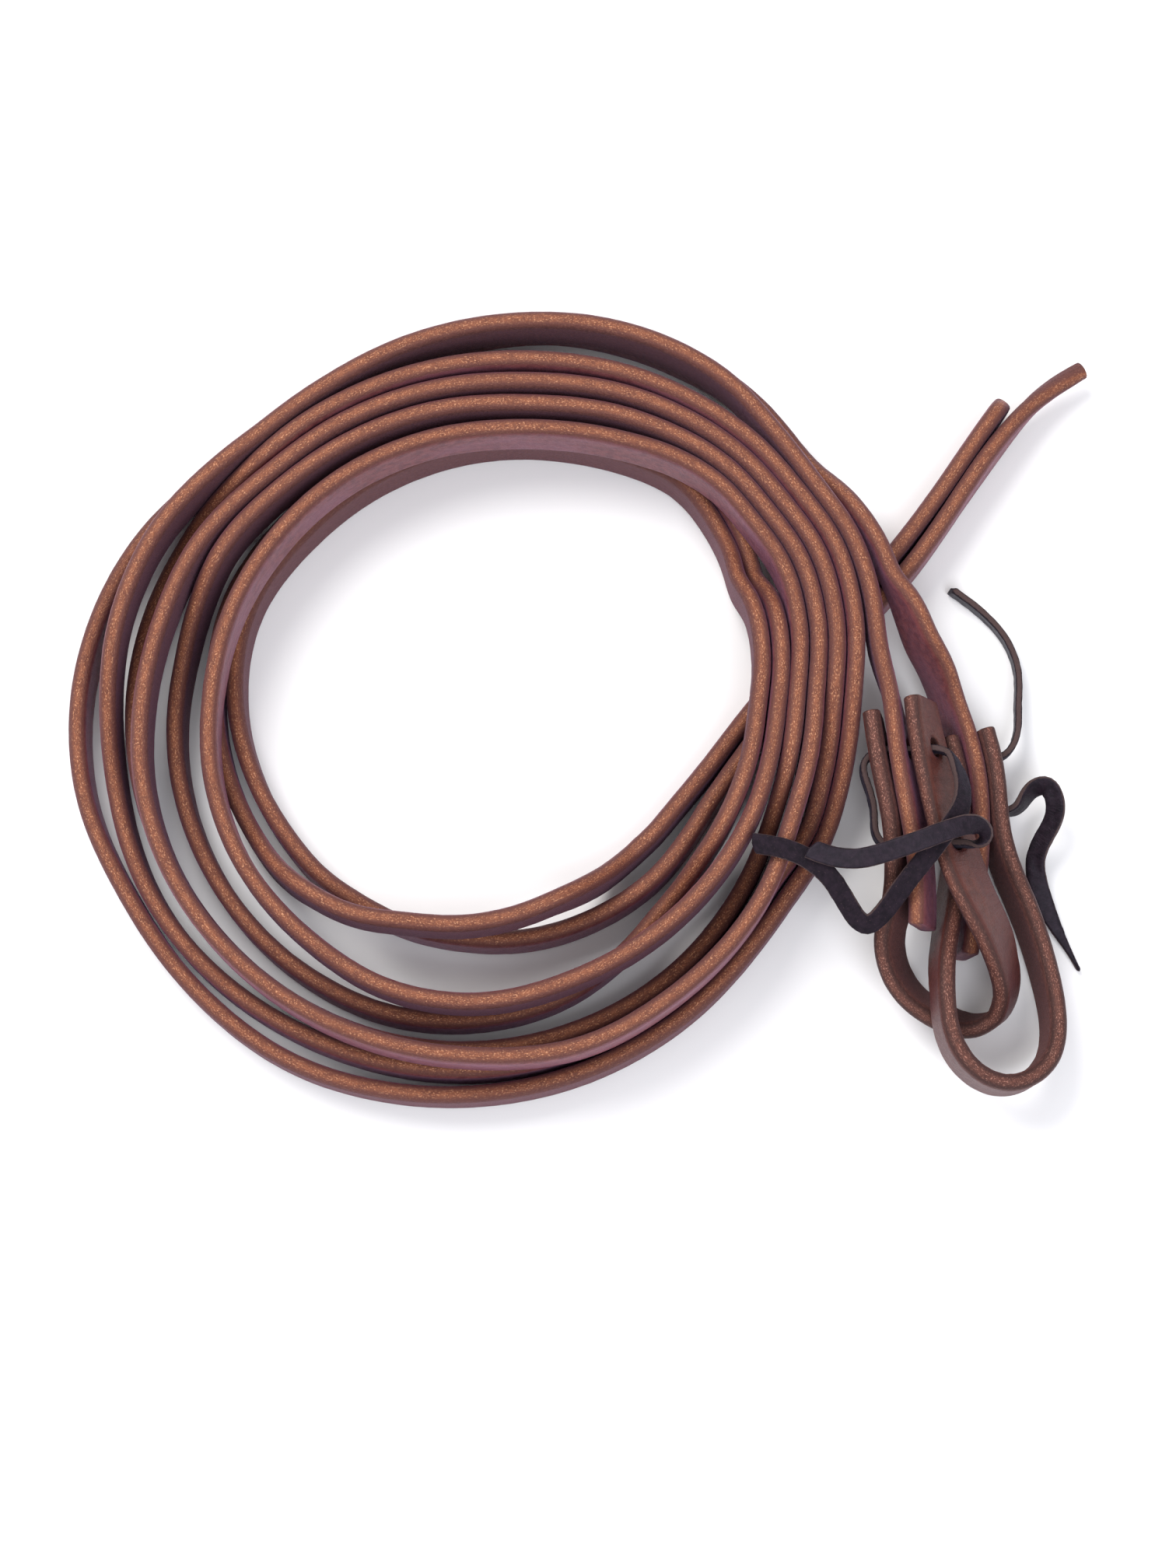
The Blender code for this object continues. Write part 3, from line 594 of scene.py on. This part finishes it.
def leather(name, edge_colours, grain_colours, grain_rough, sheen):
    """Strap leather: smooth grain on one face, napped flesh on the other, and fibrous rounded edges."""
    n = Nodes(name)
    place = n.attribute("strap", "Vector")
    edge = n.attribute("edge", "Fac")
    grain = n.attribute("grain", "Fac")
    patches = n.noise(n.stretched(place, (0.35, 1, 1)), 0.09, 3.0, 0.55)
    cloud = n.noise(place, 0.42, 4.0, 0.6)
    fibre = n.noise(n.stretched(place, (0.45, 1, 1)), 2.6, 4.0, 0.62, 0.5)
    nap = n.noise(n.stretched(place, (0.6, 1, 1)), 3.0, 3.0, 0.55)
    pores = n.cells(place, 2.1)
    folds = n.noise(n.stretched(place, (1.6, 1, 0.35)), 0.9, 5.0, 0.6, 1.2)

    edge_mix = n.math("MULTIPLY_ADD", fibre, 0.55, n.math("MULTIPLY", cloud, 0.45))
    edge_colour = n.mix(n.between(edge_mix, 0.38, 0.62), edge_colours[0], edge_colours[1])
    edge_colour = n.mix(n.share(nap, 0.54, 0.68, 0.8), edge_colour, edge_colours[2])
    edge_colour = n.mix(n.share(patches, 0.5, 0.72, 0.4), edge_colour, edge_colours[0])
    # Towards its flanks an edge takes the fourth colour: painted shade where the rounded edge turns away
    # from the light, on top of the mesh's real rounding.
    off_centre = n.math("ABSOLUTE", n.add("ShaderNodeSeparateXYZ", Vector=place).outputs["Y"])
    off_centre = n.math("MULTIPLY_ADD", cloud, 1.3, off_centre)
    edge_colour = n.mix(n.share(off_centre, 0.95, 2.3, 0.85), edge_colour, edge_colours[3])

    grain_colour = n.mix(n.between(cloud, 0.35, 0.65), grain_colours[0], grain_colours[1])
    # Mauve patches over the grain face's mottling: in the harness leather this mauve is a painted sheen.
    grain_colour = n.mix(n.share(patches, 0.45, 0.65, 0.5), grain_colour, grain_colours[2])
    grain_colour = n.mix(n.share(pores, 0.16, 0.05, 0.45), grain_colour, grain_colours[0])
    flesh_colour = n.mix(n.between(fibre, 0.36, 0.66), FLESH_COLOURS[0], FLESH_COLOURS[1])
    flesh_colour = n.mix(n.share(nap, 0.57, 0.75, 0.6), flesh_colour, FLESH_COLOURS[2])

    ragged = n.math("ADD", edge, n.math("MULTIPLY_ADD", cloud, 0.5, -0.25))
    edge_share = n.between(ragged, EDGE_START, EDGE_START + 0.35)
    face_colour = n.mix(grain, flesh_colour, grain_colour)
    colour = n.mix(edge_share, face_colour, edge_colour)
    # A thin band of the same painted shade along the corner where a face turns into the edge.
    from_border = n.math("ABSOLUTE", n.math("SUBTRACT", ragged, EDGE_START))
    corner_shade = n.share(n.math("SUBTRACT", 1.0, from_border), 0.86, 1.0, 0.35)
    colour = n.mix(corner_shade, colour, edge_colours[3])

    flesh_rough = n.math("MULTIPLY_ADD", fibre, 0.2, 0.7)
    face_rough = n.blend(grain, flesh_rough, n.math("MULTIPLY_ADD", folds, 0.22, grain_rough))
    roughness = n.blend(edge_share, face_rough, n.math("MULTIPLY_ADD", fibre, 0.25, 0.5))
    grain_height = n.math("MULTIPLY_ADD", pores, 0.35, n.math("MULTIPLY", folds, 0.9))
    nap_height = n.math("MULTIPLY_ADD", nap, 0.7, n.math("MULTIPLY", fibre, 0.9))
    soft = n.math("MAXIMUM", edge_share, n.math("SUBTRACT", 1.0, grain))
    height = n.blend(soft, grain_height, nap_height)
    normal = n.bump(height, 0.00022, 0.9, n.bump(cloud, 0.0004, 0.5))
    return n.finish(
        Base_Color=colour, Roughness=roughness, Normal=normal, Sheen_Weight=sheen, Sheen_Roughness=0.4,
        Sheen_Tint=(0.72, 0.42, 0.80, 1), Specular_IOR_Level=0.32,
    )


def lace_leather(name, dark, middle, raw):
    """Black-brown latigo: waxed on one face, fleshy on the other, with paler cut edges."""
    n = Nodes(name)
    place = n.attribute("strap", "Vector")
    edge = n.attribute("edge", "Fac")
    grain = n.attribute("grain", "Fac")
    cloud = n.noise(place, 0.7, 4.0, 0.6)
    fibre = n.noise(n.stretched(place, (0.4, 1, 1)), 3.5, 4.0, 0.65, 0.4)
    flecks = n.noise(n.stretched(place, (0.7, 1, 1)), 2.2, 3.0, 0.6)
    creases = n.noise(n.stretched(place, (1.8, 1, 0.5)), 1.1, 4.0, 0.6, 1.0)
    colour = n.mix(n.between(cloud, 0.3, 0.7), dark, middle)
    colour = n.mix(n.share(flecks, 0.62, 0.72, n.math("MULTIPLY_ADD", grain, -0.3, 0.5)), colour, raw)
    fray = n.math("MULTIPLY_ADD", fibre, 0.6, n.math("MULTIPLY", edge, 0.75))
    colour = n.mix(n.share(fray, 0.78, 1.05, 0.6), colour, raw)
    face_rough = n.blend(grain, 0.78, n.math("MULTIPLY_ADD", creases, 0.25, 0.32))
    nap_height = n.math("MULTIPLY", fibre, n.math("MULTIPLY_ADD", grain, -0.6, 0.9))
    height = n.math("MULTIPLY_ADD", creases, 0.7, nap_height)
    normal = n.bump(height, 0.0002, 0.9)
    return n.finish(
        Base_Color=colour, Roughness=n.blend(edge, face_rough, 0.75), Normal=normal, Sheen_Weight=0.04,
        Sheen_Roughness=0.4, Sheen_Tint=(0.6, 0.6, 0.95, 1), Specular_IOR_Level=0.22,
        Specular_Tint=(0.88, 0.82, 1.0, 1),
    )


# ---------------------------------------------------------------- camera, floor and lights

def aim(item, place, target):
    item.location = place
    item.rotation_mode = "QUATERNION"
    item.rotation_quaternion = (Vector(target) - Vector(place)).to_track_quat("-Z", "Y")


def add_camera():
    """Almost straight down, from a little to the front."""
    data = bpy.data.cameras.new("camera")
    data.sensor_width = 36.0
    data.lens = CAMERA_LENS
    data.clip_start, data.clip_end = 0.05, 20.0
    camera = bpy.data.objects.new("camera", data)
    bpy.context.scene.collection.objects.link(camera)
    lift = math.radians(CAMERA_ELEVATION)
    target = (Vector(CAMERA_TARGET) + Vector(COIL_CENTRE)) * MM
    aim(camera, target + CAMERA_DISTANCE * Vector((0, -math.cos(lift), math.sin(lift))), target)
    bpy.context.scene.camera = camera


def add_light(name, place, size, power, colour):
    data = bpy.data.lights.new(name, "AREA")
    data.shape = "DISK"
    data.size, data.energy, data.color = size, power, colour
    light = bpy.data.objects.new(name, data)
    bpy.context.scene.collection.objects.link(light)
    aim(light, place, (0, 0, 0))


def add_stage():
    mesh = bpy.data.meshes.new("floor")
    corners = [
        (x * FLOOR_SIDE, y * FLOOR_SIDE, FLOOR_HEIGHT) for x, y in ((-1, -1), (1, -1), (1, 1), (-1, 1))
    ]
    mesh.from_pydata(corners, [], [(0, 1, 2, 3)])
    floor = bpy.data.objects.new("floor", mesh)
    bpy.context.scene.collection.objects.link(floor)
    n = Nodes("pale_floor")
    grain = n.noise(n.add("ShaderNodeTexCoord").outputs["Object"], 40.0, 3.0)
    mesh.materials.append(n.finish(
        Base_Color=n.mix(grain, *FLOOR_COLOURS), Roughness=0.9, Specular_IOR_Level=0.1
    ))
    world = bpy.data.worlds.new("studio")
    world.use_nodes = True
    background = world.node_tree.nodes["Background"]
    background.inputs["Color"].default_value = (*WORLD_COLOUR, 1)
    background.inputs["Strength"].default_value = WORLD_STRENGTH
    bpy.context.scene.world = world
    bpy.context.scene.view_settings.view_transform = "Standard"


add_camera()
add_stage()
add_light("key", (-0.5, 0.5, 1.1), 0.8, KEY_POWER, (1.0, 0.98, 0.95))
add_light("front", (0.25, -0.55, 1.0), 0.7, FRONT_POWER, (0.93, 0.95, 1.0))

# ---------------------------------------------------------------- pieces

route_a = Route([*TAIL_A, *lap_points(LAPS_A, CLIMBS_A), *END_A], lowest=SUPPORT_HEIGHT)
route_b = Route([*TAIL_B, *lap_points(LAPS_B, CLIMBS_B), *END_B], lowest=SUPPORT_HEIGHT)
route_loop_a = Route([*ply_beside(LACED_A, -1), *BIGHT_A, *reversed_way(ply_beside(LACED_A, 1))])
route_loop_b = Route(LOOP_B)
route_lace_a = Route(LACE_A)
route_lace_b = Route(LACE_B)


def rounded_tail(length):
    """The width's share where rein A's tail is cut to a half circle."""
    radius = STRAP_WIDTH / 2
    inset = max(radius - length, 0.0)
    return max(math.sqrt(max(radius**2 - inset**2, 0.0)) / radius, 0.35)


def tapered_tail(length):
    return 0.3 + 0.7 * float(smooth_step(length / TAPER_LENGTH))


def pointed_lace(length):
    """The width's share of rein A's lace, whose lower end is cut to a long point."""
    return 0.2 + 0.8 * float(smooth_step((route_lace_a.length - length) / POINT_LENGTH))


harness = leather("harness_leather", EDGE_COLOURS, GRAIN_COLOURS, grain_rough=0.42, sheen=0.12)
bit_end = leather("bit_end_leather", BIT_EDGE_COLOURS, BIT_GRAIN_COLOURS, grain_rough=0.38, sheen=0.03)
latigo = lace_leather("latigo_lace", *LACE_COLOURS)

# Width, thickness and corner radius in mm, and the steps over a face and over a corner.
STRAP_SIZE = (STRAP_WIDTH, STRAP_THICKNESS, 1.95, 12, 4)
LACE_SIZE = (LACE_WIDTH, LACE_THICKNESS, 0.55, 8, 3)


def holes_in(route, lines):
    return [hole for line in lines for hole in hole_places(route, line, HOLE_RADIUS)]


def rein(name, route, lines, seed, tail, grain_side):
    holes = holes_in(route, lines)
    return strap_mesh(
        name, route, STRAP_SIZE, 1.7, seed, holes, tail, sway=0.8, grain_side=grain_side
    )


def bit_loop(name, route, lines, seed):
    return strap_mesh(name, route, STRAP_SIZE, 1.2, seed, holes_in(route, lines), grain_side=-1)


def lace(name, route, seed, slant, shape=None):
    return strap_mesh(name, route, LACE_SIZE, 0.8, seed, rough=0.12, shape=shape, slant=slant)


def place_piece(piece, node, material):
    piece.data.materials.append(material)
    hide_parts(node)


def declare_rein(route):
    """Reads the route's points every 4 mm, starting from its end where the bit end is laced; they are not
    used.
    """
    path = route.path(4.0)[::-1]


def declare_lace(route):
    path = route.path(2.0)


rein_a = rein("rein_a", route_a, HOLES_A, 3, rounded_tail, 1)
rein_b = rein("rein_b", route_b, HOLES_B, 5, tapered_tail, -1)
loop_a = bit_loop("bit_loop_a", route_loop_a, HOLES_A, 7)
loop_b = bit_loop("bit_loop_b", route_loop_b, HOLES_B, 8)
lace_a = lace("lace_a", route_lace_a, 11, (0.5, 0), pointed_lace)
lace_b = lace("lace_b", route_lace_b, 12, (0.6, 0.5))

place_piece(rein_a, "rein_a_strap", harness)
declare_rein(route_a)
place_piece(rein_b, "rein_b_strap", harness)
declare_rein(route_b)
place_piece(loop_a, "rein_a_bit_loop", bit_end)
place_piece(loop_b, "rein_b_bit_loop", bit_end)
place_piece(lace_a, "rein_a_tie_string", latigo)
declare_lace(route_lace_a)
place_piece(lace_b, "rein_b_tie_string", latigo)
declare_lace(route_lace_b)
